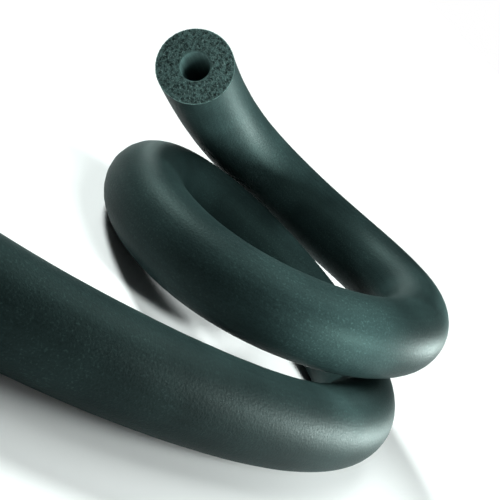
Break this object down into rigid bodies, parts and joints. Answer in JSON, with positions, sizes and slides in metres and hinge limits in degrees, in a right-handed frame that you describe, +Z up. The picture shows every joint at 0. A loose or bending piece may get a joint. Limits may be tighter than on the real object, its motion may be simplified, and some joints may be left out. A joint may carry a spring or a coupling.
{
  "type": "pipe insulation lagging",
  "caption": "Thick-walled flexible foam tube for lagging a pipe, with a round bore and square cut ends, lying on the floor in a loose coil.",
  "frame": {"origin": "on the floor, under the middle of the coiled tube's outline seen from above", "axes": "+Z up from the floor, +Y away from the viewer whom the raised cut end faces, +X to that viewer's right"},
  "size_m": [0.5162, 0.6274, 0.1504],
  "materials": {
    "foam_rubber": "matt dark grey-green skin, fine closed cells on the cut ends"
  },
  "bodies": {
    "root": {"insulation_tube": "foam_rubber"}
  },
  "joints": []
}
